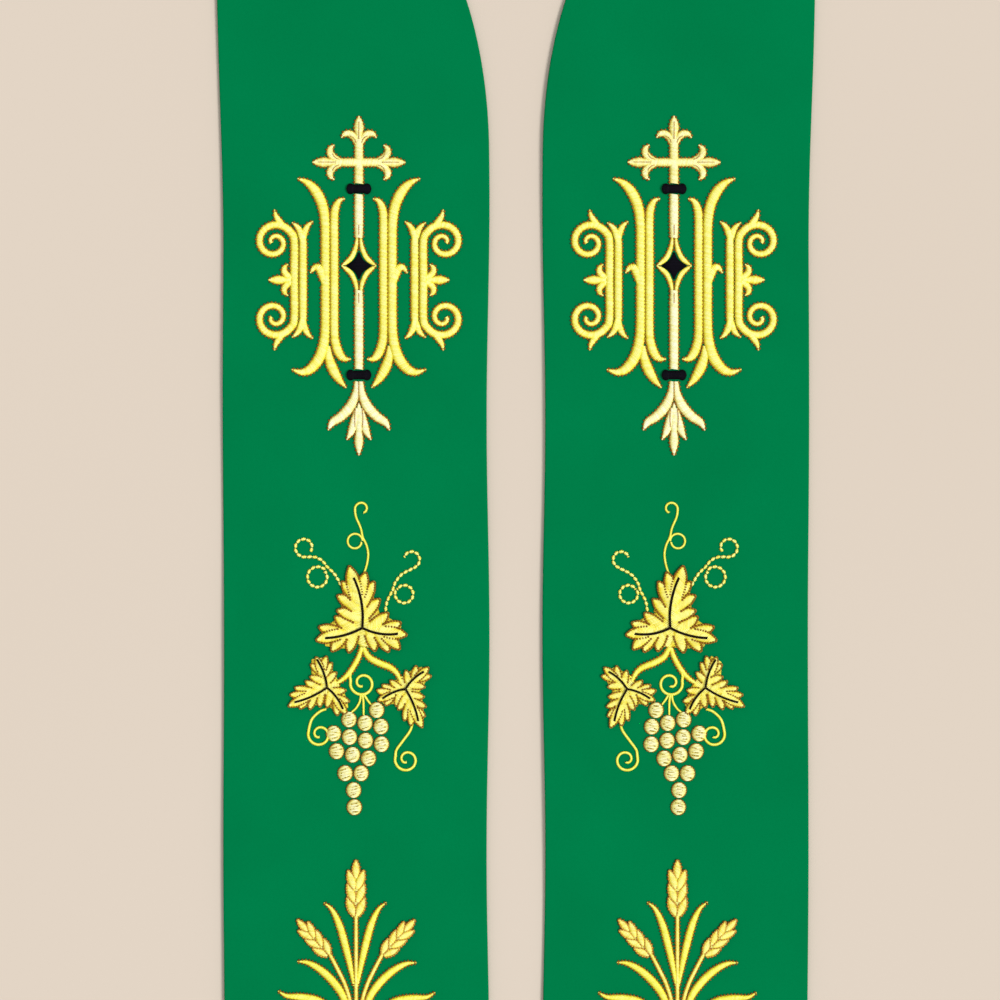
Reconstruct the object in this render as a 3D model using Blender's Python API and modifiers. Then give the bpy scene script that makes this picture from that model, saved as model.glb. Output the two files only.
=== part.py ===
"""A clerical stole laid flat: two mirrored bands of lined cloth, joined by a seam at the nape.

Metres, +Z up. The bands lie in the XY plane on z = 0, with +Y towards the neck and the hems at -Y.
"""

import bpy
import bmesh

# Overall size
LENGTH = 1.080                # hem to nape, laid flat
CLOTH_THICKNESS = 0.0020      # face cloth, interlining and backing together
EDGE_ROUND = 0.0006           # rounding of the turned edges
EDGE_ROUND_STEPS = 2
SMOOTH_ANGLE = 0.6            # radians: edges sharper than this stay crisp
SEAM_GAP = 0.0003             # between the two halves at the nape
WELD_DISTANCE = 0.00001

# Heights along Y
HEM_Y = -LENGTH / 2
NAPE_Y = LENGTH / 2
BREAST_Y = 0.170              # the inner edge runs straight below this
CHEST_Y = 0.100               # the outer edge leans outward above this
COLLAR_Y = 0.250              # the outer edge has reached its lean
SHOULDER_Y = 0.330            # the outer edge starts its arch over the shoulder
NECK_Y = 0.375                # the neck opening is widest

# Half widths, from the centre line
INNER_HEM_X = 0.0158
INNER_BREAST_X = 0.0157
NECK_X = 0.085
OUTER_HEM_X = 0.1642
OUTER_CHEST_X = 0.1652
OUTER_COLLAR_X = 0.1686
OUTER_SHOULDER_X = 0.1700
NAPE_WIDTH = 0.085            # of the band at the seam

# Handle lengths of the neck edge's easy S-curve
BREAST_EASE = 0.120
NECK_EASE = 0.050

QUARTER_ELLIPSE = 0.5523      # handle length of a quarter ellipse, as a share of its radius
CURVE_STEPS = 12

GREEN = (0.0, 0.212, 0.070, 1.0)
CLOTH_ROUGHNESS = 0.85

SIDES = {"band_left": -1, "band_right": 1}


def clear_scene():
    for old in list(bpy.data.objects):
        bpy.data.objects.remove(old, do_unlink=True)


def cloth_material():
    material = bpy.data.materials.new("green_cloth")
    material.use_nodes = True
    shader = material.node_tree.nodes["Principled BSDF"]
    shader.inputs["Base Color"].default_value = GREEN
    shader.inputs["Roughness"].default_value = CLOTH_ROUGHNESS
    shader.inputs["Metallic"].default_value = 0.0
    return material


def corner(x, y):
    """A sharp corner of the outline: its handles lie on the point."""
    return {"at": (x, y), "before": (x, y), "after": (x, y)}


def easy(x, y, before=(0, 0), after=(0, 0)):
    """A smooth point, with its handles given as steps from it."""
    return {"at": (x, y), "before": (x + before[0], y + before[1]), "after": (x + after[0], y + after[1])}


def band_outline():
    """The right band's outline, from the hem's inner corner up the neck edge and back down outside."""
    seam_x = SEAM_GAP / 2
    inner_nape_y = NAPE_Y - NAPE_WIDTH
    inner_rise = (inner_nape_y - NECK_Y) * QUARTER_ELLIPSE
    inner_run = NECK_X * QUARTER_ELLIPSE
    outer_rise = (NAPE_Y - SHOULDER_Y) * QUARTER_ELLIPSE
    outer_run = OUTER_SHOULDER_X * QUARTER_ELLIPSE
    lean = (OUTER_COLLAR_X - OUTER_CHEST_X) / (COLLAR_Y - CHEST_Y)
    third = (COLLAR_Y - CHEST_Y) / 3
    shoulder_third = (SHOULDER_Y - COLLAR_Y) / 3
    return [
        corner(INNER_HEM_X, HEM_Y),
        easy(INNER_BREAST_X, BREAST_Y, before=(0, -third), after=(0, BREAST_EASE)),
        easy(NECK_X, NECK_Y, before=(0, -NECK_EASE), after=(0, inner_rise)),
        {"at": (seam_x, inner_nape_y), "before": (inner_run, inner_nape_y), "after": (seam_x, inner_nape_y)},
        {"at": (seam_x, NAPE_Y), "before": (seam_x, NAPE_Y), "after": (outer_run, NAPE_Y)},
        easy(OUTER_SHOULDER_X, SHOULDER_Y, before=(0, outer_rise), after=(0, -shoulder_third)),
        easy(
            OUTER_COLLAR_X, COLLAR_Y,
            before=(lean * shoulder_third, shoulder_third), after=(-lean * third, -third),
        ),
        easy(OUTER_CHEST_X, CHEST_Y, before=(0, third), after=(0, -third)),
        corner(OUTER_HEM_X, HEM_Y),
    ]


def flat_curve(name, outline, side, thickness):
    """A filled 2D curve of the outline, mirrored for side -1, as thick as the cloth."""
    data = bpy.data.curves.new(name, "CURVE")
    data.dimensions = "2D"
    data.fill_mode = "BOTH"
    data.extrude = thickness / 2
    data.resolution_u = CURVE_STEPS
    spline = data.splines.new("BEZIER")
    spline.bezier_points.add(len(outline) - 1)
    for point, row in zip(spline.bezier_points, outline):
        point.handle_left_type = "FREE"
        point.handle_right_type = "FREE"
        point.co = (side * row["at"][0], row["at"][1], 0)
        point.handle_left = (side * row["before"][0], row["before"][1], 0)
        point.handle_right = (side * row["after"][0], row["after"][1], 0)
    spline.use_cyclic_u = True
    return bpy.data.objects.new(name, data)


def mesh_from_curve(curve_object, collection):
    """The curve as a welded mesh object with the same name and place."""
    name = curve_object.name
    collection.objects.link(curve_object)
    bpy.context.view_layer.update()
    evaluated = curve_object.evaluated_get(bpy.context.evaluated_depsgraph_get())
    mesh = bpy.data.meshes.new_from_object(evaluated)
    place = curve_object.matrix_world.copy()
    bpy.data.objects.remove(curve_object, do_unlink=True)
    shape = bmesh.new()
    shape.from_mesh(mesh)
    bmesh.ops.remove_doubles(shape, verts=shape.verts, dist=WELD_DISTANCE)
    bmesh.ops.recalc_face_normals(shape, faces=shape.faces)
    shape.to_mesh(mesh)
    shape.free()
    mesh_object = bpy.data.objects.new(name, mesh)
    mesh_object.matrix_world = place
    collection.objects.link(mesh_object)
    return mesh_object


def make_band(name, side, material, collection):
    curve_object = flat_curve(name, band_outline(), side, CLOTH_THICKNESS)
    curve_object.location.z = CLOTH_THICKNESS / 2
    band = mesh_from_curve(curve_object, collection)
    rounding = band.modifiers.new("turned_edge", "BEVEL")
    rounding.width = EDGE_ROUND
    rounding.segments = EDGE_ROUND_STEPS
    rounding.limit_method = "ANGLE"
    band.data.materials.clear()
    band.data.materials.append(material)
    band.data.shade_smooth()
    band.data.set_sharp_from_angle(angle=SMOOTH_ANGLE)
    return band


def main():
    clear_scene()
    stole = bpy.data.collections.new("clerical_stole")
    bpy.context.scene.collection.children.link(stole)
    cloth = cloth_material()
    for name, side in SIDES.items():
        make_band(name, side, cloth, stole)


main()
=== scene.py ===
"""A clerical stole laid out flat: two green cloth bands with satin-stitch embroidery.

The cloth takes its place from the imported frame. Each figured design is a set of strokes in millimetres on
its own small grid; every stroke is covered by real stitches laid side by side across it.
"""

import math
from collections import namedtuple

import bmesh
import bpy
import numpy as np
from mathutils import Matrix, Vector


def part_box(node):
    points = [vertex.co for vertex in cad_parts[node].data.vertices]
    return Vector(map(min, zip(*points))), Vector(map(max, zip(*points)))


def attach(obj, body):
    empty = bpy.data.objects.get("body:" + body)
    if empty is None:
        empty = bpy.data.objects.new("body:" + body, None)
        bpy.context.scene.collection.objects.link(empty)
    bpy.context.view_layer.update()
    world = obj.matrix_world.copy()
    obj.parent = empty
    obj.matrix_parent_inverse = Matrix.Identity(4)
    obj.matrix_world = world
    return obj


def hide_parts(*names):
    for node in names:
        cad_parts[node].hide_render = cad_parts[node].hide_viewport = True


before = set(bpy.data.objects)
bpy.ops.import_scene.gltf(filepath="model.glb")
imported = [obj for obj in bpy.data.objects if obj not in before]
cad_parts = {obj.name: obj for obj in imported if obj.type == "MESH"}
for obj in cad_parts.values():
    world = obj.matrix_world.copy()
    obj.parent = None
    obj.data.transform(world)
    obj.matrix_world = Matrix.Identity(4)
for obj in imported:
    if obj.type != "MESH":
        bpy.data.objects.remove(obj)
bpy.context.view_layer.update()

MM = 0.001
TINY = 1e-9                   # keeps a division from meeting nought

# The right band's cut, in metres, as its solid has it; the left one mirrors it
SOLID_LOW, SOLID_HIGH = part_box("band_right")
SEAM_X, HEM_Y = SOLID_LOW[:2]
SHOULDER_X, NAPE_Y = SOLID_HIGH[:2]
CLOTH = SOLID_HIGH[2] - SOLID_LOW[2]     # its thickness
BREAST_Y, CHEST_Y, COLLAR_Y, SHOULDER_Y, NECK_Y = 0.170, 0.100, 0.250, 0.330, 0.375
INNER_HEM_X, INNER_BREAST_X, NECK_X = 0.0158, 0.0157, 0.085
OUTER_HEM_X, OUTER_CHEST_X, OUTER_COLLAR_X = 0.1642, 0.1652, 0.1686
NAPE_WIDTH = 0.085
BREAST_EASE, NECK_EASE = 0.120, 0.050
QUARTER_ELLIPSE = 0.5523
EDGE_ROUND, EDGE_ROUND_STEPS = 0.0007, 3
EDGE_ANGLE = 60               # degrees: edges sharper than this are rounded

# The cloth's net of faces, and how it lies
CLOTH_ACROSS = 42
CLOTH_ALONG = 310
EDGE_CROWDING = 0.55
ARCH_STEPS = 60
# The turned edges waver: the inner one comes in towards the middle at the crest and goes back between crests
EDGE_WAVE = 0.0008
OUTER_WAVE = 0.0003
EDGE_WAVE_LENGTH = 0.245
EDGE_WAVE_CREST = 0.137

# Where each design's own zero lies on each band, in metres
EMBLEM_AT = {"left": (-0.0885, 0.1000), "right": (0.0891, 0.1000)}
VINE_AT = {"left": (-0.0865, -0.1041), "right": (0.0869, -0.1041)}
SHEAF_AT = {"left": (-0.0901, -0.3420), "right": (0.0910, -0.3420)}

SIDES = {"left": -1, "right": 1}


def place_in_scene(name, data):
    made = bpy.data.objects.new(name, data)
    bpy.context.scene.collection.objects.link(made)
    return made


def net_of_faces(name, across, along, half):
    """A flat square net, from -half to half both ways."""
    shape = bmesh.new()
    bmesh.ops.create_grid(shape, x_segments=across, y_segments=along, size=half)
    mesh = bpy.data.meshes.new(name)
    shape.to_mesh(mesh)
    shape.free()
    return mesh


# ---------------- shader maths

class Wire:
    """A shader socket that takes plain arithmetic: each operator adds its Math node."""

    def __init__(self, finish, socket):
        self.finish = finish
        self.socket = socket

    def maths(self, operation, *values):
        node = self.finish.add("ShaderNodeMath", {"operation": operation}, dict(enumerate(values)))
        return Wire(self.finish, node.outputs[0])

    def __add__(self, other):
        return self.maths("ADD", self, other)

    def __mul__(self, other):
        return self.maths("MULTIPLY", self, other)

    def __sub__(self, other):
        return self.maths("SUBTRACT", self, other)

    def __rsub__(self, other):
        return self.maths("SUBTRACT", other, self)

    __radd__, __rmul__ = __add__, __mul__

    def sine(self):
        return self.maths("SINE", self)


# Where a Mix node that works in colour has its factor and two colours, and its result
MIX_SOCKETS, MIX_RESULT = (0, 6, 7), 2


class Finish:
    """One material: its shader's own sockets are set by name, and add() puts in any other node."""

    def __init__(self, name, **constants):
        self.material = bpy.data.materials.new(name)
        self.material.use_nodes = True
        self.tree = self.material.node_tree
        self.shader = self.tree.nodes["Principled BSDF"]
        for label, value in constants.items():
            self.shader.inputs[label.replace("_", " ").title().replace("Ior", "IOR")].default_value = value

    def fill(self, socket, value):
        if isinstance(value, Wire):
            self.tree.links.new(value.socket, socket)
        elif isinstance(value, bpy.types.NodeSocket):
            self.tree.links.new(value, socket)
        else:
            socket.default_value = value

    def add(self, kind, settings=None, sockets=None):
        node = self.tree.nodes.new(kind)
        for label, value in (settings or {}).items():
            if label == "stops":
                self.set_stops(node.color_ramp, value)
            else:
                setattr(node, label, value)
        for label, value in (sockets or {}).items():
            self.fill(node.inputs[label], value)
        return node

    def set_stops(self, ramp, stops):
        while len(ramp.elements) < len(stops):
            ramp.elements.new(1.0)
        for element, (place, colour) in zip(ramp.elements, stops):
            element.position = place
            element.color = colour

    def places(self):
        """The point's own place on the object in metres: as it is, and as three wires."""
        here = self.add("ShaderNodeTexCoord").outputs["Object"]
        parts = self.add("ShaderNodeSeparateXYZ", sockets={0: here})
        return here, [Wire(self, out) for out in parts.outputs]

    def number(self, attribute):
        return Wire(self, self.add("ShaderNodeAttribute", {"attribute_name": attribute}).outputs["Fac"])

    def noise(self, here, scale, detail=2.0):
        node = self.add("ShaderNodeTexNoise", sockets={"Vector": here, "Scale": scale, "Detail": detail})
        return Wire(self, node.outputs["Fac"])

    def blend(self, *factor_and_colours):
        """From the first colour to the second as the factor goes from 0 to 1."""
        node = self.add("ShaderNodeMix", {"data_type": "RGBA"}, dict(zip(MIX_SOCKETS, factor_and_colours)))
        return node.outputs[MIX_RESULT]

    def bump(self, height, distance, strength=1.0):
        settings = {"Height": height, "Distance": distance, "Strength": strength}
        self.vary("Normal", self.add("ShaderNodeBump", sockets=settings).outputs[0])

    def vary(self, label, value):
        """What varies over the surface, into one of the shader's own sockets."""
        self.fill(self.shader.inputs[label], value)


def shade(red, green, blue):
    """A colour given as it looks on a screen, 0 to 255, made into light values by the screen's own curve."""
    light = [((c / 255 + 0.055) / 1.055) ** 2.4 if c > 10 else c / 255 / 12.92 for c in (red, green, blue)]
    return (*light, 1.0)


# ---------------- finishes

CLOTH_SHADE, CLOTH_WORN = shade(0, 119, 69), shade(1, 112, 64)
WEAVE_PITCH = 0.00046
WEAVE_HEIGHT, SLUB_HEIGHT, CLOTH_RELIEF = 0.6, 1.4, 0.00004
# Slubs of the yarn and clouds in the dye: how many to the metre, and how much each changes the shade
SLUB_SCALE, CLOUD_SCALE, CLOTH_DETAIL = 900.0, 14.0, 3.0
SLUB_TINT, CLOUD_TINT = 0.8, 1.6
LEAST_ROUGH, SLUB_ROUGH = 0.84, 0.1


def cloth_finish():
    """Matte green cloth in a fine plain weave, with a barely seen unevenness of dye."""
    finish = Finish("green_cloth", roughness=0.88, specular_ior_level=0.0)
    here, (x, y, _) = finish.places()
    turn = 2 * math.pi / WEAVE_PITCH
    warp = (x * turn).sine()
    weft = (y * turn).sine()
    over = (x * (turn / 2)).sine() * (y * (turn / 2)).sine()
    weave = warp * 0.5 + weft * 0.5 + over
    slubs = finish.noise(here, SLUB_SCALE, CLOTH_DETAIL)
    finish.bump(weave * WEAVE_HEIGHT + slubs * SLUB_HEIGHT, CLOTH_RELIEF)
    clouds = finish.noise(here, CLOUD_SCALE, CLOTH_DETAIL)
    tint = (clouds - 0.5) * CLOUD_TINT + (slubs - 0.5) * SLUB_TINT + 0.5
    finish.vary("Base Color", finish.blend(tint, CLOTH_SHADE, CLOTH_WORN))
    finish.vary("Roughness", LEAST_ROUGH + slubs * SLUB_ROUGH)
    return finish.material


# What a thread's paleness is made of: its own tone, the painted light on it and its fibres, less a little
TONE_PART, PAINTED_LIGHT_PART, FIBRE_PART, TAKEN_OFF = 0.28, 0.66, 0.24, 0.03
FIBRE_SCALE, FIBRE_ROUGH, FIBRE_RELIEF, FIBRE_STRENGTH = 2600.0, 0.16, 0.00006, 0.6


def thread_finish(name, colours, roughness, gloss):
    """Twisted thread: each stitch has its own tone, and painted light makes its top paler than its ends."""
    finish = Finish(name, specular_ior_level=gloss)
    here, _ = finish.places()
    # Painted light: paler over the top of each stitch, painted shade at its ends and on the slope away from
    # the lamp
    tone = finish.number("tone")
    crown = finish.number("crown")
    fibre = finish.noise(here, FIBRE_SCALE)
    level = tone * TONE_PART + crown * PAINTED_LIGHT_PART + fibre * FIBRE_PART - TAKEN_OFF
    stops = [(place, shade(*colour)) for place, colour in zip((0.0, 0.5, 1.0), colours)]
    finish.vary("Base Color", finish.add("ShaderNodeValToRGB", {"stops": stops}, {0: level}).outputs[0])
    finish.vary("Roughness", roughness + fibre * FIBRE_ROUGH)
    finish.bump(fibre, FIBRE_RELIEF, FIBRE_STRENGTH)
    return finish.material


TABLE_SHADE, TABLE_PALE = shade(203, 190, 176), shade(208, 196, 183)
TABLE_CLOUDS, TABLE_DETAIL = 1.6, 1.0


def floor_finish():
    finish = Finish("pale_table", roughness=0.9, specular_ior_level=0.1)
    here, _ = finish.places()
    clouds = finish.noise(here, TABLE_CLOUDS, TABLE_DETAIL)
    finish.vary("Base Color", finish.blend(clouds, TABLE_SHADE, TABLE_PALE))
    return finish.material


# Thread colours as they look on a screen: deep for the painted shade at a stitch's ends, middle, and pale for
# its painted highlight
THREADS = {
    "gold_thread": ((206, 156, 16), (249, 240, 64), (255, 255, 178)),
    "ivory_thread": ((206, 178, 80), (250, 246, 156), (255, 255, 238)),
    "cream_thread": ((200, 168, 58), (246, 238, 124), (255, 255, 212)),
    "lemon_thread": ((206, 176, 20), (244, 240, 42), (255, 255, 142)),
    "leaf_thread": ((200, 152, 22), (244, 229, 52), (255, 254, 158)),
    "grape_thread": ((200, 172, 80), (247, 240, 138), (255, 255, 218)),
    "straw_thread": ((206, 152, 28), (247, 233, 68), (255, 255, 166)),
    "amber_thread": ((142, 84, 12), (190, 130, 30), (230, 186, 64)),
    "olive_thread": ((126, 106, 24), (176, 154, 54), (214, 198, 102)),
    "old_gold_thread": ((92, 62, 6), (146, 108, 18), (192, 156, 52)),
    "brown_thread": ((70, 36, 4), (118, 72, 14), (170, 118, 40)),
    "dark_thread": ((6, 2, 1), (16, 7, 4), (36, 20, 12)),
    "black_thread": ((2, 1, 6), (6, 4, 12), (14, 10, 22)),
}
# Roughness and shine of each kind of thread
SHINY = (0.38, 0.5)
DULL = (0.62, 0.08)
DULL_THREADS = ("olive_thread", "old_gold_thread", "brown_thread", "dark_thread", "black_thread")


# ---------------- the cloth

def bezier(start, start_handle, end_handle, end):
    """Places along one cubic stretch."""
    t = np.linspace(0, 1, ARCH_STEPS + 1)[:, None]
    ends = (1 - t) ** 3 * start + t ** 3 * end
    return ends + 3 * (1 - t) ** 2 * t * start_handle + 3 * (1 - t) * t ** 2 * end_handle


def edge_through(*rows):
    """A line through rows of x, y, then the step to the handle before and to the one after."""
    rows = np.array(rows)
    stretches = [
        bezier(start[:2], start[:2] + start[4:], end[:2] + end[2:4], end[:2])
        for start, end in zip(rows[:-1], rows[1:])
    ]
    return np.vstack([stretches[0]] + [stretch[1:] for stretch in stretches[1:]])


def inner_edge():
    """The right band's inner edge, from the hem round the neck to the nape."""
    third = (COLLAR_Y - CHEST_Y) / 3
    nape_y = NAPE_Y - NAPE_WIDTH
    return edge_through(
        (INNER_HEM_X, HEM_Y, 0, 0, 0, 0),
        (INNER_BREAST_X, BREAST_Y, 0, -third, 0, BREAST_EASE),
        (NECK_X, NECK_Y, 0, -NECK_EASE, 0, (nape_y - NECK_Y) * QUARTER_ELLIPSE),
        (SEAM_X, nape_y, NECK_X * QUARTER_ELLIPSE - SEAM_X, 0, 0, 0),
    )


def outer_edge():
    """The right band's outer edge, from the hem over the shoulder to the nape."""
    lean = (OUTER_COLLAR_X - OUTER_CHEST_X) / (COLLAR_Y - CHEST_Y)
    third = (COLLAR_Y - CHEST_Y) / 3
    upper = (SHOULDER_Y - COLLAR_Y) / 3
    return edge_through(
        (OUTER_HEM_X, HEM_Y, 0, 0, 0, 0),
        (OUTER_CHEST_X, CHEST_Y, 0, -third, 0, third),
        (OUTER_COLLAR_X, COLLAR_Y, -lean * third, -third, lean * upper, upper),
        (SHOULDER_X, SHOULDER_Y, 0, -upper, 0, (NAPE_Y - SHOULDER_Y) * QUARTER_ELLIPSE),
        (SEAM_X, NAPE_Y, SHOULDER_X * QUARTER_ELLIPSE - SEAM_X, 0, 0, 0),
    )


def run_along(points):
    """How far along a line each of its points lies."""
    steps = np.linalg.norm(np.diff(points[:, :2], axis=0), axis=1)
    return np.concatenate([[0], np.cumsum(steps)])


def read_off(points, known, wanted):
    """A line's points between the known stations, at the wanted ones."""
    return np.stack([np.interp(wanted, known, column) for column in points.T], axis=-1)


def place_on(points, share):
    """Points at given shares of a line's length."""
    run = run_along(points)
    return read_off(points, run / run[-1], share)


def split_at_height(points, height):
    """The line below a height and the line above it, which meet there."""
    cut = int(np.argmax(points[:, 1] > height))
    share = (height - points[cut - 1, 1]) / (points[cut, 1] - points[cut - 1, 1])
    meeting = points[cut - 1] + share * (points[cut] - points[cut - 1])
    return np.vstack([points[:cut], meeting]), np.vstack([meeting, points[cut:]])


INNER_LOW, INNER_HIGH = split_at_height(inner_edge(), COLLAR_Y)
OUTER_LOW, OUTER_HIGH = split_at_height(outer_edge(), COLLAR_Y)
STRAIGHT_SHARE = 0.66         # of the net's rows, below the collar


def place_on_band(across, along):
    """A point of the right band: across runs from the inner edge to the outer, along from hem to nape."""
    low = np.clip(along / STRAIGHT_SHARE, 0, 1)
    high = np.clip((along - STRAIGHT_SHARE) / (1 - STRAIGHT_SHARE), 0, 1)
    in_low = (along <= STRAIGHT_SHARE)[:, None]
    inner = np.where(in_low, place_on(INNER_LOW, low), place_on(INNER_HIGH, high))
    outer = np.where(in_low, place_on(OUTER_LOW, low), place_on(OUTER_HIGH, high))
    places = inner + (outer - inner) * across[:, None]
    wave = np.cos(2 * math.pi * (places[:, 1] - EDGE_WAVE_CREST) / EDGE_WAVE_LENGTH)
    fade = np.clip((COLLAR_Y - places[:, 1]) / (COLLAR_Y - BREAST_Y), 0, 1)
    places[:, 0] -= wave * fade * ((1 - across) * EDGE_WAVE + across * OUTER_WAVE)
    return places


# How the cloth lies: soft ridges, a row each. Columns: x and y of the middle, direction in degrees,
# half length and half width, height
CREASES = {
    "left": [
        (-0.118, 0.205, 82, 0.090, 0.026, 0.0007),
        (-0.060, -0.020, 97, 0.110, 0.022, 0.0005),
        (-0.132, -0.080, 86, 0.140, 0.020, 0.0006),
        (-0.052, -0.250, 78, 0.120, 0.024, 0.0006),
        (-0.120, -0.430, 102, 0.100, 0.030, 0.0008),
        (-0.070, 0.400, 40, 0.060, 0.018, 0.0009),
    ],
    "right": [
        (0.055, 0.180, 99, 0.080, 0.022, 0.0006),
        (0.128, 0.020, 92, 0.120, 0.024, 0.0006),
        (0.050, -0.120, 84, 0.110, 0.020, 0.0005),
        (0.130, -0.280, 95, 0.130, 0.022, 0.0007),
        (0.075, -0.450, 76, 0.090, 0.030, 0.0008),
        (0.095, 0.430, 128, 0.055, 0.018, 0.0008),
    ],
}
SWELL = 0.00035               # the cloth's long slow waves
RIPPLE_SWELL = 0.35           # height of the shortest ones, as a share of it
RIPPLE_LENGTHS = (0.31, 0.19, 0.127)
RIPPLE_SLANTS = (9, -17, 23)  # how much later each arrives, for every metre across, in radians
RIPPLE_START = {"left": 1.3, "right": 3.9}


def lie(side, x, y):
    """How far the cloth stands off the table at a place, in metres."""
    long_wave, middle_wave, short_wave = (
        np.sin(y * 2 * math.pi / length + x * slant + (number + 1) * RIPPLE_START[side])
        for number, (length, slant) in enumerate(zip(RIPPLE_LENGTHS, RIPPLE_SLANTS))
    )
    height = SWELL * ((2 + long_wave + middle_wave) / 2 + RIPPLE_SWELL * (1 + short_wave))
    for row_x, row_y, degrees, half_length, half_width, rise in CREASES[side]:
        turn = math.radians(degrees)
        run = (x - row_x) * math.cos(turn) + (y - row_y) * math.sin(turn)
        off = -(x - row_x) * math.sin(turn) + (y - row_y) * math.cos(turn)
        height = height + rise * np.exp(-((run / half_length) ** 2) - (off / half_width) ** 2)
    return height


PUCKER = 0.00028              # how far the stitches pull the cloth down beside them
PUCKER_REACH = 0.0030
FAR_OFF = 9.0                 # metres: further than any stitch
AT_A_TIME = 400               # stitches looked at together


def pucker(x, y, stitched):
    """The pull of the stitching on the cloth round it: stitched holds places under the embroidery."""
    nearest = np.full(x.shape, FAR_OFF)
    for chunk in np.array_split(stitched, max(1, len(stitched) // AT_A_TIME)):
        apart = np.hypot(x[:, None] - chunk[None, :, 0], y[:, None] - chunk[None, :, 1]).min(axis=1)
        nearest = np.minimum(nearest, apart)
    return PUCKER * np.exp(-(nearest / PUCKER_REACH) ** 2)


def make_band(side, stitched, finish):
    """One band of cloth: a net of faces bent to the cut, given its wall and turned edges."""
    mesh = net_of_faces("cloth_" + side, CLOTH_ACROSS, CLOTH_ALONG, 0.5)
    across, along = np.array([vertex.co[:2] for vertex in mesh.vertices]).T + 0.5
    crowded = 0.5 - 0.5 * np.cos(math.pi * across)
    across = across + EDGE_CROWDING * (crowded - across)
    places = place_on_band(across, along)
    x, y = SIDES[side] * places[:, 0], places[:, 1]
    middle = CLOTH / 2 + lie(side, x, y) - pucker(x, y, stitched)
    mesh.vertices.foreach_set("co", np.stack([x, y, np.maximum(middle, CLOTH / 2)], axis=1).ravel())
    if SIDES[side] < 0:
        mesh.flip_normals()
    mesh.update()
    mesh.materials.append(finish)
    mesh.shade_smooth()
    band = place_in_scene("cloth_" + side, mesh)
    wall = band.modifiers.new("wall", "SOLIDIFY")
    wall.thickness = CLOTH
    wall.offset = 0.0
    rounding = band.modifiers.new("turned_edge", "BEVEL")
    rounding.width = EDGE_ROUND
    rounding.segments = EDGE_ROUND_STEPS
    rounding.limit_method = "ANGLE"
    rounding.angle_limit = math.radians(EDGE_ANGLE)
    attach(band, "root")
    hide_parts("band_" + side)
    return band


# ---------------- strokes and stitches

FINE = 0.2                    # millimetres between the places worked out along a stroke
LEAST_HALF = 0.02             # least half width of a stroke, in millimetres
CURVE_PARTS = 14
CURL_STEP = 30                # degrees from one row of a curl to the next


def evenly(line):
    """The same line with its places spaced evenly."""
    run = run_along(line)
    return read_off(line, run, np.linspace(0, run[-1], max(3, int(run[-1] / FINE) + 1)))


def smooth(rows):
    """A smooth curve through a stroke's rows: places across and up, and the half width there."""
    knots = np.array(rows, dtype=float)
    before = np.vstack([2 * knots[0] - knots[1], knots[:-1]])
    after = np.vstack([knots[1:], 2 * knots[-1] - knots[-2]])
    slopes = (after - before) / 2
    t = np.linspace(0, 1, CURVE_PARTS + 1)[:-1, None]
    parts = []
    for start, end, leaving, arriving in zip(knots[:-1], knots[1:], slopes[:-1], slopes[1:]):
        parts.append(
            (2 * t ** 3 - 3 * t ** 2 + 1) * start + (t ** 3 - 2 * t ** 2 + t) * leaving
            + (3 * t ** 2 - 2 * t ** 3) * end + (t ** 3 - t ** 2) * arriving
        )
    curve = evenly(np.vstack(parts + [knots[-1:]]))
    curve[:, 2] = np.maximum(curve[:, 2], LEAST_HALF)
    return curve


def curl(middle, radii, degrees, halves, ease=1.0):
    """Rows round a spiral, from one radius, angle and half width to the other.

    An ease above 1 tightens it late.
    """
    count = max(4, int(abs(degrees[1] - degrees[0]) / CURL_STEP))
    rows = []
    for step in range(count + 1):
        share = step / count
        radius = radii[0] + (radii[1] - radii[0]) * share ** ease
        angle = math.radians(degrees[0] + (degrees[1] - degrees[0]) * share)
        half = halves[0] + (halves[1] - halves[0]) * share
        rows.append((middle[0] + radius * math.cos(angle), middle[1] + radius * math.sin(angle), half))
    return rows


ROUND_STEPS, ROUND_END = 10, 0.25


def round_patch(across, up, half_wide, half_tall):
    """An oval as a stroke from its left end to its right."""
    turns = [math.pi * step / ROUND_STEPS for step in range(ROUND_STEPS + 1)]
    return [
        (across - half_wide * math.cos(turn), up, max(ROUND_END, half_tall * math.sin(turn)))
        for turn in turns
    ]


def mirrored(rows, across=-1, up=1):
    """The same stroke turned over left to right or, with up -1, top to foot."""
    return [(across * u, up * v, half) for u, v, half in rows]


def turned(rows, degrees, at=(0, 0), scale=1.0):
    """Rows turned about zero, scaled and moved."""
    c, s = math.cos(math.radians(degrees)), math.sin(math.radians(degrees))
    return [
        (at[0] + scale * (c * u - s * v), at[1] + scale * (s * u + c * v), scale * half)
        for u, v, half in rows
    ]


def headings(curve):
    """The direction to a stroke's left, at each of its places."""
    along = np.gradient(curve[:, :2], axis=0)
    along /= np.maximum(np.linalg.norm(along, axis=1, keepdims=True), TINY)
    return np.stack([-along[:, 1], along[:, 0]], axis=1)


def edge_places(curve, shares, side):
    """Places on a stroke's left (1) or right (-1) edge, at shares of its length."""
    edge = curve[:, :2] + side * headings(curve) * curve[:, 2:3]
    return read_off(edge, np.linspace(0, 1, len(curve)), np.clip(shares, 0, 1))


def length_of(curve):
    return FINE * (len(curve) - 1)


# Teeth of an edging, in millimetres: one every pitch, its width along the edge, half its length across it,
# and how far its middle stands outside it
Tooth = namedtuple("Tooth", "pitch wide half out")
BROAD_TOOTH = Tooth(2.15, 0.95, 0.62, 0.30)
MIDDLE_TOOTH = Tooth(1.95, 0.84, 0.60, 0.36)
FINE_TOOTH = Tooth(1.40, 0.72, 0.42, 0.14)
LINE_HALF, LINE_OUT = 0.20, 0.05
LINE_STITCH = 1.5
EDGING_LIFT = 0.12
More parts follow.
